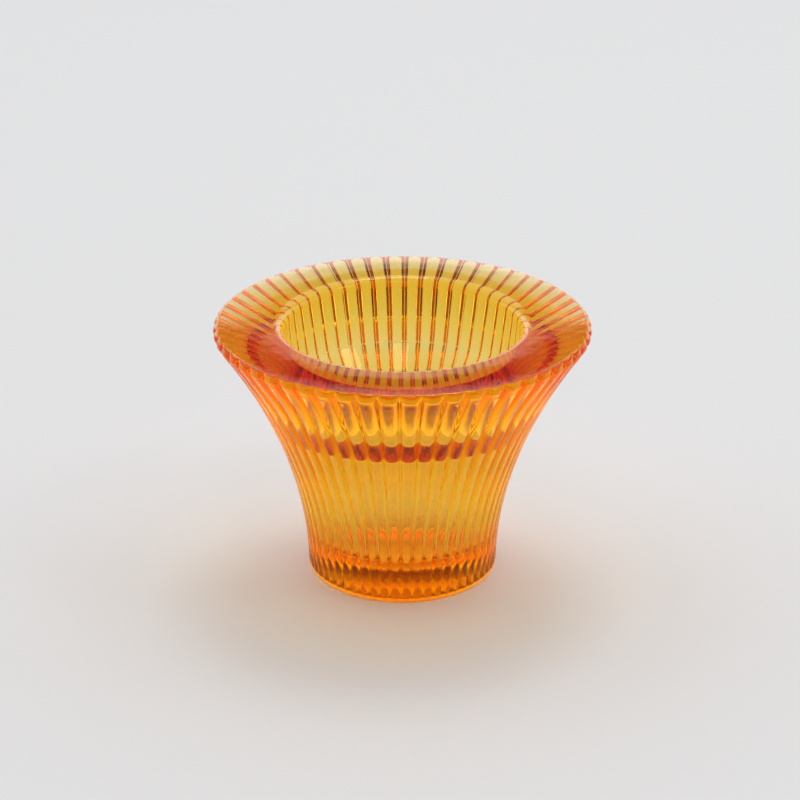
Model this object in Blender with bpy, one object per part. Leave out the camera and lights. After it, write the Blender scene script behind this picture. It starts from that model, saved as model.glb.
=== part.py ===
"""A tealight holder of pressed amber glass: one trumpet-shaped body with 56 reeds.

Lengths are in metres and +Z is up. The holder stands on z = 0 and its axis is the Z axis.
The glass is one piece, so the script makes one solid: a reeded outside, a rounded lip, a flat
rim, a cup that takes a tealight, a sloping seat that the tealight rests on, and a narrower
well below the seat.
"""

import math

import bmesh
import bpy

MM = 0.001

# Driving sizes.
HEIGHT = 52.6 * MM
RIM_RADIUS = 37.5 * MM  # over the reeds, at the lip
WAIST_RADIUS = 18.9 * MM  # where the flare starts, at the bottom
REEDS = 56
REED_DEPTH = 1.5 * MM  # from crest to groove at the rim; it shrinks with the radius
REED_ROUNDNESS = 2.6  # power of the curve from crest to groove: 2 is a round reed
FOOT_ROUND = 1.65 * MM
LIP_ROUND = 1.2 * MM

# The hollow, from the rim down: each corner is (radius, height, rounding).
MOUTH = (23.4 * MM, HEIGHT, 2.2 * MM)
SEAT_TOP = (23.1 * MM, 38.9 * MM, 1.1 * MM)
SEAT_FOOT = (18.9 * MM, 33.8 * MM, 1.5 * MM)
WELL_FLOOR = (15.0 * MM, 5.0 * MM, 6.0 * MM)

# How finely the mesh follows the shape.
REED_POINTS = 4  # across one reed, from groove to groove
HOLLOW_POINTS = 2  # around the hollow, for each reed
FLARE_STEPS = 9
FOOT_STEPS = 2
LIP_STEPS = 3
CORNER_STEPS = 3

GLASS_COLOUR = (0.80, 0.33, 0.04, 1.0)
GLASS_INDEX = 1.52
GLASS_ROUGHNESS = 0.02

QUARTER_TURN = math.pi / 2


def flare_curve():
    """The number that makes the outside r = WAIST_RADIUS + curve * z * z reach the lip."""
    lip_height = HEIGHT - LIP_ROUND
    return (RIM_RADIUS - WAIST_RADIUS) / (lip_height * lip_height)


def outside_radius(height):
    """Radius over the reeds at a height on the flare."""
    return WAIST_RADIUS + flare_curve() * height * height


def arc(centre, radius, first, last, steps):
    """Points on an arc in the radius-height plane, with both ends; angles in radians."""
    points = []
    for step in range(steps + 1):
        angle = first + (last - first) * step / steps
        points.append((centre[0] + radius * math.cos(angle), centre[1] + radius * math.sin(angle)))
    return points


def rounded_corner(before, corner, after, rounding, steps):
    """The arc of the given radius that replaces a corner between two straight runs."""
    to_before = math.atan2(before[1] - corner[1], before[0] - corner[0])
    to_after = math.atan2(after[1] - corner[1], after[0] - corner[0])
    opening = (to_after - to_before + math.pi) % (2 * math.pi) - math.pi
    half = abs(opening) / 2
    middle = to_before + opening / 2
    reach = rounding / math.sin(half)
    centre = (corner[0] + reach * math.cos(middle), corner[1] + reach * math.sin(middle))
    turn = math.copysign(math.pi - abs(opening), -opening)
    first = to_before + math.copysign(QUARTER_TURN, -opening)
    return arc(centre, rounding, first, first + turn, steps)


def outside_profile():
    """(radius, height, reed share) of each ring, from the resting face up to the flat rim."""
    rings = []
    foot = (outside_radius(FOOT_ROUND) - FOOT_ROUND, FOOT_ROUND)
    for radius, height in arc(foot, FOOT_ROUND, -QUARTER_TURN, 0.0, FOOT_STEPS):
        rings.append((radius, height, height / FOOT_ROUND))
    lip = (RIM_RADIUS - LIP_ROUND, HEIGHT - LIP_ROUND)
    for step in range(1, FLARE_STEPS):
        height = FOOT_ROUND + (lip[1] - FOOT_ROUND) * step / FLARE_STEPS
        rings.append((outside_radius(height), height, 1.0))
    for radius, height in arc(lip, LIP_ROUND, 0.0, QUARTER_TURN, LIP_STEPS):
        rings.append((radius, height, (HEIGHT - height) / LIP_ROUND))
    return rings


def hollow_profile():
    """(radius, height) of each ring of the hollow, from the flat rim down to the well floor."""
    corners = [MOUTH, SEAT_TOP, SEAT_FOOT, WELL_FLOOR]
    ends = [(RIM_RADIUS, HEIGHT)] + [(radius, height) for radius, height, _ in corners]
    ends.append((0.0, WELL_FLOOR[1]))
    rings = []
    for index, (radius, height, rounding) in enumerate(corners):
        rings += rounded_corner(ends[index], (radius, height), ends[index + 2], rounding, CORNER_STEPS)
    return rings


def add_ring(mesh, radius, height, points, groove_depth):
    """A closed ring with the given number of points for each reed, starting in a groove at -Y."""
    ring = []
    for index in range(REEDS * points):
        across = (index % points) / points
        towards_groove = abs(2 * across - 1)
        here = radius - groove_depth * towards_groove**REED_ROUNDNESS
        angle = 2 * math.pi * index / (REEDS * points) - QUARTER_TURN
        ring.append(mesh.verts.new((here * math.cos(angle), here * math.sin(angle), height)))
    return ring


def join_reeded_rings(mesh, lower, upper):
    """A band of triangles between two reeded rings; the two sides of a reed mirror each other."""
    count = len(lower)
    for index in range(count):
        after = (index + 1) % count
        if index % REED_POINTS < REED_POINTS // 2:
            mesh.faces.new((lower[index], lower[after], upper[after]))
            mesh.faces.new((lower[index], upper[after], upper[index]))
        else:
            mesh.faces.new((lower[index], lower[after], upper[index]))
            mesh.faces.new((lower[after], upper[after], upper[index]))


def join_hollow_rings(mesh, upper, lower):
    """A band of four-sided faces between two rings of the hollow."""
    count = len(lower)
    for index in range(count):
        after = (index + 1) % count
        mesh.faces.new((upper[index], upper[after], lower[after], lower[index]))


def join_rim(mesh, outer, inner):
    """The flat rim, between the lip's ring and the mouth's ring, which has fewer points."""
    across = len(outer) // len(inner)
    for index in range(len(inner)):
        after = (index + 1) % len(inner)
        edge = [outer[(index * across + step) % len(outer)] for step in range(across + 1)]
        mesh.faces.new(edge + [inner[after], inner[index]])


def build_glass_body():
    mesh = bmesh.new()
    outside = []
    for radius, height, share in outside_profile():
        groove_depth = REED_DEPTH * share * radius / RIM_RADIUS
        outside.append(add_ring(mesh, radius, height, REED_POINTS, groove_depth))
    hollow = []
    for radius, height in hollow_profile():
        hollow.append(add_ring(mesh, radius, height, HOLLOW_POINTS, 0.0))
    mesh.faces.new(list(reversed(outside[0])))
    for lower, upper in zip(outside, outside[1:]):
        join_reeded_rings(mesh, lower, upper)
    join_rim(mesh, outside[-1], hollow[0])
    for upper, lower in zip(hollow, hollow[1:]):
        join_hollow_rings(mesh, upper, lower)
    mesh.faces.new(hollow[-1])
    bmesh.ops.recalc_face_normals(mesh, faces=mesh.faces)
    for face in mesh.faces:
        face.smooth = True
    data = bpy.data.meshes.new("glass_body")
    mesh.to_mesh(data)
    mesh.free()
    body = bpy.data.objects.new("glass_body", data)
    bpy.context.scene.collection.objects.link(body)
    return body


def amber_glass():
    material = bpy.data.materials.new("amber_glass")
    material.use_nodes = True
    shader = material.node_tree.nodes["Principled BSDF"]
    shader.inputs["Base Color"].default_value = GLASS_COLOUR
    shader.inputs["Roughness"].default_value = GLASS_ROUGHNESS
    shader.inputs["Metallic"].default_value = 0.0
    shader.inputs["IOR"].default_value = GLASS_INDEX
    shader.inputs["Transmission Weight"].default_value = 1.0
    return material


def main():
    for leftover in list(bpy.data.objects):
        bpy.data.objects.remove(leftover)
    body = build_glass_body()
    body.data.materials.append(amber_glass())


main()
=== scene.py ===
import math

import bmesh
import bpy
import numpy as np
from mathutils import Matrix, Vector


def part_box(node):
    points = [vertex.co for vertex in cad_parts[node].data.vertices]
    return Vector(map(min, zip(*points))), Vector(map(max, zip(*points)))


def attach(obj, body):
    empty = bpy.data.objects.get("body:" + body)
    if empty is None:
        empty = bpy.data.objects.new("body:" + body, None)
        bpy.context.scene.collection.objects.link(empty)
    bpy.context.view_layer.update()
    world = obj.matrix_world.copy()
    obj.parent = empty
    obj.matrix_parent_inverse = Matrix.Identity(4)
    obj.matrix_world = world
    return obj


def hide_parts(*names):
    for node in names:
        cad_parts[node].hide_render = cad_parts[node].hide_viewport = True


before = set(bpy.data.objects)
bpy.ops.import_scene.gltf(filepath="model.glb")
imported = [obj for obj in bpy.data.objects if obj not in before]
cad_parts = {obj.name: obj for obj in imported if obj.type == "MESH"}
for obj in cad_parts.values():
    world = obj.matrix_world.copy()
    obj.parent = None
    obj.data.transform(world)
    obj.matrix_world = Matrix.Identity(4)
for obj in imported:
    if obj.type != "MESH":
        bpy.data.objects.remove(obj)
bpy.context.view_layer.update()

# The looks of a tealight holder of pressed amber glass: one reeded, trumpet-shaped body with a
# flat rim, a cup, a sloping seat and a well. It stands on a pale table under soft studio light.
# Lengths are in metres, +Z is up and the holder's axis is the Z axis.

BODY_LOW, BODY_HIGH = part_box("glass_body")
MM = 0.001

# The body's driving sizes.
REEDS = 56
HEIGHT = BODY_HIGH.z - BODY_LOW.z
RIM_RADIUS = BODY_HIGH.x / math.cos(math.pi / REEDS)  # a groove lies on the X axis
WAIST_RADIUS = 0.504 * RIM_RADIUS  # where the flare starts, at the bottom
REED_DEPTH = 1.4 * MM  # from crest to groove at the rim; it shrinks with the radius
REED_ROUNDNESS = 3.0  # power of the curve from crest to groove: 2 is a round reed
GROOVE_ROUND = 0.03  # share of half a reed over which the groove's bottom is rounded
FOOT_ROUND = 1.65 * MM
LIP_ROUND = 1.2 * MM

# The hollow, from the rim down: each corner is (radius, height, rounding).
MOUTH = (23.4 * MM, HEIGHT, 2.2 * MM)
SEAT_TOP = (23.1 * MM, 38.9 * MM, 1.1 * MM)
SEAT_FOOT = (18.9 * MM, 33.8 * MM, 1.5 * MM)
WELL_FLOOR = (15.0 * MM, 5.0 * MM, 6.0 * MM)

# How finely the mesh follows the shape.
REED_POINTS = 12  # across one reed, from groove to groove
HOLLOW_POINTS = 6  # around the hollow, for each reed
GROOVE_CROWDING = 1.8  # above 1, points crowd towards the groove
FLARE_STEPS = 72
FOOT_STEPS = 6
LIP_STEPS = 10
CORNER_STEPS = 10
WALL_STEPS = 6
FLOOR_RINGS = 3
FLOOR_SHRINK = 0.6  # each ring of the well floor against the ring outside it
LIP_SEARCH_STEPS = 60

# Amber glass: what each millimetre takes from red, green and blue light.
GLASS_INDEX = 1.52
ABSORBED_PER_MM = (0.0010, 0.038, 0.25)
SURFACE_TINT = (1.0, 0.93, 0.82, 1.0)  # what a crossing of the surface leaves
GLINT_TINT = (1.0, 0.7, 0.25, 1.0)  # what the surface reflects head on

# The faint unevenness that pressing leaves in the glass: waves of a few millimetres.
RIPPLES_PER_METRE = 170.0
RIPPLE_DETAIL = 2.0
RIPPLE_HEIGHT = 0.04 * MM

QUARTER_TURN = math.pi / 2


def flare_curve():
    """The number that makes the outside r = WAIST_RADIUS + curve * z * z reach the lip."""
    lip_height = HEIGHT - LIP_ROUND
    return (RIM_RADIUS - WAIST_RADIUS) / (lip_height * lip_height)


def outside_radius(height):
    return WAIST_RADIUS + flare_curve() * height * height


def arc(centre, radius, first, last, steps):
    """Points on an arc in the radius-height plane, with both ends; angles in radians."""
    points = []
    for step in range(steps + 1):
        angle = first + (last - first) * step / steps
        points.append((centre[0] + radius * math.cos(angle), centre[1] + radius * math.sin(angle)))
    return points


def rounded_corner(before, corner, after, rounding, steps):
    """The arc of the given radius that replaces a corner between two straight runs."""
    to_before = math.atan2(before[1] - corner[1], before[0] - corner[0])
    to_after = math.atan2(after[1] - corner[1], after[0] - corner[0])
    opening = (to_after - to_before + math.pi) % (2 * math.pi) - math.pi
    half = abs(opening) / 2
    middle = to_before + opening / 2
    reach = rounding / math.sin(half)
    centre = (corner[0] + reach * math.cos(middle), corner[1] + reach * math.sin(middle))
    turn = math.copysign(math.pi - abs(opening), -opening)
    first = to_before + math.copysign(QUARTER_TURN, -opening)
    return arc(centre, rounding, first, first + turn, steps)


def run_between(start, end, steps):
    """Points between start and end, without either."""
    return [
        (start[0] + (end[0] - start[0]) * step / steps, start[1] + (end[1] - start[1]) * step / steps)
        for step in range(1, steps)
    ]


def lip_start():
    """(centre, angle, height) of the lip's arc, which runs on smoothly from the flare."""
    centre_height = HEIGHT - LIP_ROUND
    low, high = HEIGHT / 2, HEIGHT
    for _ in range(LIP_SEARCH_STEPS):
        height = (low + high) / 2
        slope = 2 * flare_curve() * height
        drop = LIP_ROUND * slope / math.hypot(1, slope)
        if height + drop < centre_height:
            low = height
        else:
            high = height
    inward = LIP_ROUND / math.hypot(1, slope)
    return (outside_radius(height) - inward, centre_height), -math.atan(slope), height


def outside_profile():
    """(radius, height, reed share) of each ring, from the resting face up to the flat rim.

    The reed share is how much of the reeds' depth is left: none on the resting face and the rim.
    """
    rings = []
    foot = (outside_radius(FOOT_ROUND) - FOOT_ROUND, FOOT_ROUND)
    for step in range(1, FLOOR_RINGS + 1):
        rings.append((foot[0] * step / (FLOOR_RINGS + 1), 0.0, 0.0))
    for radius, height in arc(foot, FOOT_ROUND, -QUARTER_TURN, 0.0, FOOT_STEPS):
        rings.append((radius, height, 1 - (1 - height / FOOT_ROUND) ** 2))
    centre, angle, top = lip_start()
    for step in range(1, FLARE_STEPS):
        height = FOOT_ROUND + (top - FOOT_ROUND) * step / FLARE_STEPS
        rings.append((outside_radius(height), height, 1.0))
    for step, (radius, height) in enumerate(arc(centre, LIP_ROUND, angle, QUARTER_TURN, LIP_STEPS)):
        rings.append((radius, height, 0.5 + 0.5 * math.cos(math.pi * step / LIP_STEPS)))
    return rings


def hollow_profile():
    """(radius, height) of each ring of the hollow, from the flat rim to the well floor."""
    corners = [MOUTH, SEAT_TOP, SEAT_FOOT, WELL_FLOOR]
    ends = [(RIM_RADIUS, HEIGHT)] + [(radius, height) for radius, height, _ in corners]
    ends.append((0.0, WELL_FLOOR[1]))
    rings = []
    for index, (radius, height, rounding) in enumerate(corners):
        turn = rounded_corner(ends[index], (radius, height), ends[index + 2], rounding, CORNER_STEPS)
        if rings:
            rings += run_between(rings[-1], turn[0], WALL_STEPS)
        rings += turn
    for step in range(1, FLOOR_RINGS + 1):
        rings.append((rings[-1][0] * FLOOR_SHRINK, WELL_FLOOR[1]))
    return rings


def reed_angles(points):
    """Angles of a ring's points, and how far each is from the crest (0) to the groove (1)."""
    angles, towards_groove = [], []
    for index in range(REEDS * points):
        across = (index % points) / points
        side = min(across, 1 - across) * 2
        crowded = side**GROOVE_CROWDING / 2
        place = crowded if across <= 0.5 else 1 - crowded
        angles.append(2 * math.pi * (index // points + place) / REEDS - QUARTER_TURN)
        from_groove = math.hypot(2 * crowded, GROOVE_ROUND)
        share = min(max(1 - (from_groove - GROOVE_ROUND) / (1 - GROOVE_ROUND), 0.0), 1.0)
        towards_groove.append(share**REED_ROUNDNESS)
    return np.array(angles), np.array(towards_groove)


def add_ring(mesh, radius, height, angles, inset):
    """A closed ring of points at one height; inset says how far in each point lies."""
    return [
        mesh.verts.new(((radius - back) * math.cos(angle), (radius - back) * math.sin(angle), height))
        for angle, back in zip(angles, inset)
    ]


def join_rings(mesh, first, second):
    count = len(first)
    for index in range(count):
        after = (index + 1) % count
        mesh.faces.new((first[index], first[after], second[after], second[index]))


def join_rim(mesh, outer, inner):
    """The flat rim, between the lip's ring and the mouth's ring, which has fewer points."""
    across = len(outer) // len(inner)
    for index in range(len(inner)):
        after = (index + 1) % len(inner)
        edge = [outer[(index * across + step) % len(outer)] for step in range(across + 1)]
        mesh.faces.new(edge + [inner[after], inner[index]])


def close_ring(mesh, ring, height):
    """A fan of triangles from a ring to a point on the axis."""
    centre = mesh.verts.new((0.0, 0.0, height))
    for index in range(len(ring)):
        mesh.faces.new((ring[index], ring[(index + 1) % len(ring)], centre))


def build_glass():
    mesh = bmesh.new()
    angles, towards_groove = reed_angles(REED_POINTS)
    outside = []
    for radius, height, share in outside_profile():
        depth = REED_DEPTH * share * radius / RIM_RADIUS
        outside.append(add_ring(mesh, radius, height, angles, depth * towards_groove))
    plain = np.arange(REEDS * HOLLOW_POINTS) * 2 * math.pi / (REEDS * HOLLOW_POINTS) - QUARTER_TURN
    hollow = []
    for radius, height in hollow_profile():
        hollow.append(add_ring(mesh, radius, height, plain, np.zeros(len(plain))))
    close_ring(mesh, outside[0], 0.0)
    for lower, upper in zip(outside, outside[1:]):
        join_rings(mesh, lower, upper)
    join_rim(mesh, outside[-1], hollow[0])
    for upper, lower in zip(hollow, hollow[1:]):
        join_rings(mesh, upper, lower)
    close_ring(mesh, hollow[-1], WELL_FLOOR[1])
    bmesh.ops.recalc_face_normals(mesh, faces=mesh.faces)
    for face in mesh.faces:
        face.smooth = True
    data = bpy.data.meshes.new("reeded_glass")
    mesh.to_mesh(data)
    mesh.free()
    piece = bpy.data.objects.new("reeded_glass", data)
    bpy.context.scene.collection.objects.link(piece)
    piece.location.z = BODY_LOW.z
    return piece


def bump_from_noise(nodes, links, per_metre, detail, height):
    """A bump node fed by noise in the object's own coordinates."""
    place = nodes.new("ShaderNodeTexCoord")
    noise = nodes.new("ShaderNodeTexNoise")
    noise.inputs["Scale"].default_value = per_metre
    noise.inputs["Detail"].default_value = detail
    bump = nodes.new("ShaderNodeBump")
    bump.inputs["Distance"].default_value = height
    links.new(place.outputs["Object"], noise.inputs["Vector"])
    links.new(noise.outputs["Fac"], bump.inputs["Height"])
    return noise, bump


def amber_glass():
    """Clear glass whose colour comes from how much of it the light crosses."""
    material = bpy.data.materials.new("amber_glass")
    material.use_nodes = True
    nodes, links = material.node_tree.nodes, material.node_tree.links
    shader = nodes["Principled BSDF"]
    shader.inputs["Base Color"].default_value = SURFACE_TINT
    shader.inputs["Roughness"].default_value = 0.0
    shader.inputs["IOR"].default_value = GLASS_INDEX
    shader.inputs["Transmission Weight"].default_value = 1.0
    shader.inputs["Specular Tint"].default_value = GLINT_TINT
    _, ripples = bump_from_noise(nodes, links, RIPPLES_PER_METRE, RIPPLE_DETAIL, RIPPLE_HEIGHT)
    links.new(ripples.outputs["Normal"], shader.inputs["Normal"])
    absorption = nodes.new("ShaderNodeVolumeAbsorption")
    most = max(ABSORBED_PER_MM)
    absorption.inputs["Density"].default_value = most / MM
    absorption.inputs["Color"].default_value = [1 - share / most for share in ABSORBED_PER_MM] + [1]
    links.new(absorption.outputs["Volume"], nodes["Material Output"].inputs["Volume"])
    return material


glass = build_glass()
glass.data.materials.append(amber_glass())
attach(glass, "root")
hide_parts("glass_body")

# The studio: a wide pale table, a bright low band of background, a dark gap above that band and
# a soft glow from there up. All three fade towards the camera's side. Three soft boxes help: a
# large one behind and above the holder, and two small ones that put pale glints on the seat.
OPAQUE = 1.0
TABLE_SIDE = 12.0
TABLE_DROP = 0.02 * MM  # the air that is left under the foot
TABLE_LIGHT = (0.711, 0.715, 0.722, 1.0)
TABLE_DARK = (0.705, 0.709, 0.716, 1.0)
TABLE_ROUGHNESS = 0.7
TABLE_SHEEN = 0.2
GRAIN_PER_METRE = 900.0
GRAIN_DETAIL = 3.0
GRAIN_HEIGHT = 0.02 * MM
# A Mix node's colour sockets go by number, because their names repeat.
MIX_FACTOR, MIX_FIRST, MIX_SECOND, MIX_RESULT = 0, 6, 7, 2
# (height of a direction, from 0 at eye level to 1 straight up; how bright the room is there)
ROOM_LIGHT = (
    (0.0, 1.6),
    (0.28, 1.6),
    (0.32, 0.8),
    (0.36, 0.7),
    (0.385, 0.12),
    (0.44, 0.12),
    (0.52, 1.5),
)
CAMERA_SIDE_SHARE = 0.12  # how much of the room's light is left on the camera's side
SIDE_FADE = (-0.6, 0.3)  # from where to where the direction's Y brings it up to the whole
TOP_BOX_PLACE = (0.06, 0.4, 1.12)
TOP_BOX_SIZE = (0.4, 0.4)
TOP_BOX_POWER = 2.1
FRONT_BOX_PLACE = (0.05, -0.62, 1.0)
FRONT_BOX_SIZE = (0.26, 0.15)
FRONT_BOX_POWER = 0.4
SIDE_BOX_PLACE = (0.85, -0.3, 1.0)
SIDE_BOX_SIZE = (0.3, 0.2)
SIDE_BOX_POWER = 0.7


def table_top():
    """Matt paper with a faint grain."""
    material = bpy.data.materials.new("table_top")
    material.use_nodes = True
    nodes, links = material.node_tree.nodes, material.node_tree.links
    shader = nodes["Principled BSDF"]
    grain, bump = bump_from_noise(nodes, links, GRAIN_PER_METRE, GRAIN_DETAIL, GRAIN_HEIGHT)
    shade = nodes.new("ShaderNodeMix")
    shade.data_type = "RGBA"
    links.new(grain.outputs["Fac"], shade.inputs[MIX_FACTOR])
    shade.inputs[MIX_FIRST].default_value = TABLE_DARK
    shade.inputs[MIX_SECOND].default_value = TABLE_LIGHT
    links.new(shade.outputs[MIX_RESULT], shader.inputs["Base Color"])
    links.new(bump.outputs["Normal"], shader.inputs["Normal"])
    shader.inputs["Roughness"].default_value = TABLE_ROUGHNESS
    shader.inputs["Specular IOR Level"].default_value = TABLE_SHEEN
    return material


def build_table():
    """A table top that is wide enough to fill the camera's view."""
    reach = TABLE_SIDE / 2
    corners = [(-reach, -reach, 0.0), (reach, -reach, 0.0), (reach, reach, 0.0), (-reach, reach, 0.0)]
    data = bpy.data.meshes.new("table")
    data.from_pydata(corners, [], [(0, 1, 2, 3)])
    data.materials.append(table_top())
    table = bpy.data.objects.new("table", data)
    bpy.context.scene.collection.objects.link(table)
    table.location.z = BODY_LOW.z - TABLE_DROP


def area_light(name, place, size, power):
    """A soft box that points at the middle of the foot."""
    light = bpy.data.lights.new(name, "AREA")
    light.shape = "RECTANGLE"
    light.size, light.size_y = size
    light.energy = power
    holder = bpy.data.objects.new(name, light)
    holder.location = place
    holder.rotation_euler = (-Vector(place)).to_track_quat("-Z", "Y").to_euler()
    bpy.context.scene.collection.objects.link(holder)


def build_room():
    """Surroundings whose light depends on the height of a direction and on its side."""
    world = bpy.data.worlds.new("studio")
    world.use_nodes = True
    nodes, links = world.node_tree.nodes, world.node_tree.links
    direction = nodes.new("ShaderNodeTexCoord")
    split = nodes.new("ShaderNodeSeparateXYZ")
    links.new(direction.outputs["Generated"], split.inputs["Vector"])
    light = nodes.new("ShaderNodeValToRGB")
    links.new(split.outputs["Z"], light.inputs["Fac"])
    stops = light.color_ramp.elements
    while len(stops) < len(ROOM_LIGHT):
        stops.new(1.0)
    for stop, (height, brightness) in zip(stops, ROOM_LIGHT):
        stop.position = height
        stop.color = (brightness, brightness, brightness, OPAQUE)
    side = nodes.new("ShaderNodeMapRange")
    side.inputs["From Min"].default_value, side.inputs["From Max"].default_value = SIDE_FADE
    side.inputs["To Min"].default_value = CAMERA_SIDE_SHARE
    links.new(split.outputs["Y"], side.inputs["Value"])
    links.new(light.outputs["Color"], nodes["Background"].inputs["Color"])
    links.new(side.outputs["Result"], nodes["Background"].inputs["Strength"])
    bpy.context.scene.world = world


build_table()
build_room()
area_light("top_box", TOP_BOX_PLACE, TOP_BOX_SIZE, TOP_BOX_POWER)
area_light("front_box", FRONT_BOX_PLACE, FRONT_BOX_SIZE, FRONT_BOX_POWER)
area_light("side_box", SIDE_BOX_PLACE, SIDE_BOX_SIZE, SIDE_BOX_POWER)

# The camera, which looks down at the holder and aims a little below the middle of the rim.
CAMERA_ELEVATION = math.radians(22.04)
CAMERA_TURN = 0.015  # round the axis, in radians
CAMERA_DISTANCE = 16 * RIM_RADIUS  # from the middle of the rim
CAMERA_CLIP = 10 * MM
CAMERA_LENS_MM = 137.4
SENSOR_MM = 36.0
AIM_DOWN = math.radians(1.467)
AIM_LEFT = math.radians(-0.049)


def build_camera():
    data = bpy.data.cameras.new("camera")
    data.sensor_width = SENSOR_MM
    data.lens = CAMERA_LENS_MM
    data.clip_start = CAMERA_CLIP
    camera = bpy.data.objects.new("camera", data)
    bpy.context.scene.collection.objects.link(camera)
    level = CAMERA_DISTANCE * math.cos(CAMERA_ELEVATION)
    camera.location = (
        level * math.sin(CAMERA_TURN),
        -level * math.cos(CAMERA_TURN),
        BODY_HIGH.z + CAMERA_DISTANCE * math.sin(CAMERA_ELEVATION),
    )
    camera.rotation_euler = (
        QUARTER_TURN - CAMERA_ELEVATION - AIM_DOWN,
        0.0,
        CAMERA_TURN - AIM_LEFT,
    )
    bpy.context.scene.camera = camera


build_camera()

# How far light is followed through the glass.
GLASS_BOUNCES = 24
GLOSSY_BOUNCES = 8
GLOSSY_BLUR = 0.0  # a blur of 0.5 took light out of the glow under the glass
BRIGHTEST_INDIRECT = 10.0

scene = bpy.context.scene
scene.view_settings.view_transform = "Standard"
scene.cycles.max_bounces = GLASS_BOUNCES
scene.cycles.transmission_bounces = GLASS_BOUNCES
scene.cycles.glossy_bounces = GLOSSY_BOUNCES
scene.cycles.use_denoising = True
scene.cycles.caustics_refractive = True
scene.cycles.caustics_reflective = True
scene.cycles.blur_glossy = GLOSSY_BLUR
scene.cycles.sample_clamp_indirect = BRIGHTEST_INDIRECT
